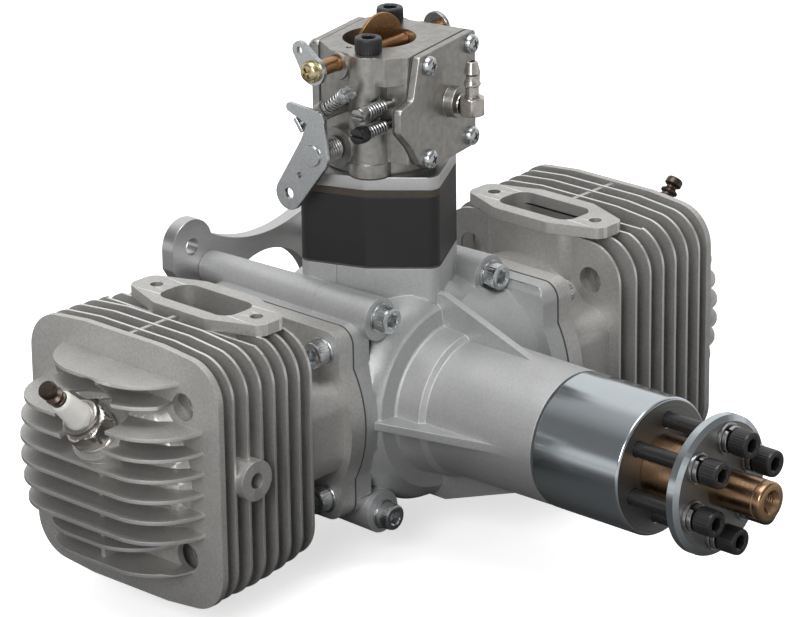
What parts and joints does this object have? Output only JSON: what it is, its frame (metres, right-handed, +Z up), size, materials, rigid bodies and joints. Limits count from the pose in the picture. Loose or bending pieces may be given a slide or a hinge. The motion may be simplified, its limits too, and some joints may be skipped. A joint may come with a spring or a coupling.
{
  "type": "flat aircraft engine",
  "caption": "Flat-twin two-stroke petrol engine for a model aircraft: finned cylinders, carburettor on a block on top, bolted propeller drive and rear mounting plate.",
  "frame": {"origin": "centre of the rear mounting face, on the crank axis", "axes": "+Y points back out of the mounting face along the crank axis, -Y to the propeller, +Z up through the carburettor, +X along the left-hand cylinder as seen from behind"},
  "size_m": [0.2738, 0.2137, 0.1707],
  "materials": {
    "machined_aluminium": "satin",
    "cast_aluminium": "satin",
    "polished_aluminium": "polished",
    "black_block": "matte",
    "gasket": "matte",
    "black_steel": "satin",
    "bright_steel": "satin",
    "zinc_carburettor": "satin",
    "brass": "satin",
    "bronze": "satin",
    "ceramic": "gloss",
    "bearing_steel": "satin",
    "seal_rubber": "matte"
  },
  "bodies": {
    "engine": {"adapter_plate": "machined_aluminium", "base_gaskets": "gasket", "bearings": "bearing_steel", "carb_body": "zinc_carburettor", "carb_gasket": "gasket", "carb_screws": "black_steel", "case_bolts": "bright_steel", "connecting_rods": "bearing_steel", "cover_gaskets": "gasket", "cover_screws": "bright_steel", "crank_throws": "bearing_steel", "cylinder_bolts": "bright_steel", "front_case": "cast_aluminium", "front_cover": "zinc_carburettor", "fuel_nipple": "zinc_carburettor", "high_spring": "bright_steel", "idle_spring": "bright_steel", "insulator_layer": "black_block", "intake_gasket": "gasket", "left_cylinder": "cast_aluminium", "left_plug_insulator": "ceramic", "left_plug_shell": "bright_steel", "left_plug_terminal": "bright_steel", "low_spring": "bright_steel", "mount_screws": "black_steel", "oil_seal": "seal_rubber", "piston_rings": "bearing_steel", "pistons": "machined_aluminium", "rear_case": "cast_aluminium", "rear_cover": "zinc_carburettor", "rear_mount_plate": "machined_aluminium", "reed_block": "black_block", "reed_cage": "machined_aluminium", "reed_petals": "bright_steel", "right_cylinder": "cast_aluminium", "right_plug_insulator": "ceramic", "right_plug_shell": "bright_steel", "right_plug_terminal": "bright_steel", "side_plate": "bright_steel", "throttle_spring": "bright_steel", "wrist_pins": "bearing_steel"},
    "drive": {"front_shaft": "bearing_steel", "prop_driver": "polished_aluminium", "hub_stud": "bronze", "prop_washer": "machined_aluminium", "prop_bolts": "black_steel", "lock_washers": "bright_steel"},
    "throttle": {"throttle_shaft": "bright_steel", "throttle_lever": "bright_steel", "throttle_plate": "bronze"},
    "choke": {"choke_shaft": "bronze", "choke_lever": "bright_steel", "choke_plate": "bronze", "choke_disc": "bright_steel", "choke_lever_screw": "brass"},
    "high_adjuster": {"high_needle": "bright_steel"},
    "low_adjuster": {"low_needle": "black_steel"},
    "idle_adjuster": {"idle_screw": "bright_steel"}
  },
  "joints": [
    {"name": "drive_spin", "type": "hinge", "parent": "engine", "child": "drive", "pos_m": [0, -0.136, 0], "axis": [0, 1, 0], "continuous": true},
    {"name": "throttle_turn", "type": "hinge", "parent": "engine", "child": "throttle", "pos_m": [0.0012, -0.056, 0.0825], "axis": [-0.9994, -0.0349, 0], "range_deg": [0, 75], "stiffness_Nm_per_rad": 0.02, "springref_deg": -22.92},
    {"name": "choke_turn", "type": "hinge", "parent": "engine", "child": "choke", "pos_m": [0.0012, -0.056, 0.1095], "axis": [0.9994, 0.0349, 0], "range_deg": [0, 80]},
    {"name": "high_turn", "type": "hinge", "parent": "engine", "child": "high_adjuster", "pos_m": [-0.01825, -0.07209, 0.0975], "axis": [0.9994, 0.0349, 0], "range_deg": [-540, 540]},
    {"name": "low_turn", "type": "hinge", "parent": "engine", "child": "low_adjuster", "pos_m": [-0.01825, -0.07209, 0.091], "axis": [0.9994, 0.0349, 0], "range_deg": [-540, 540]},
    {"name": "idle_turn", "type": "hinge", "parent": "engine", "child": "idle_adjuster", "pos_m": [-0.02603, -0.05855, 0.0967], "axis": [0.0279, -0.7995, 0.6], "range_deg": [-540, 540]}
  ]
}
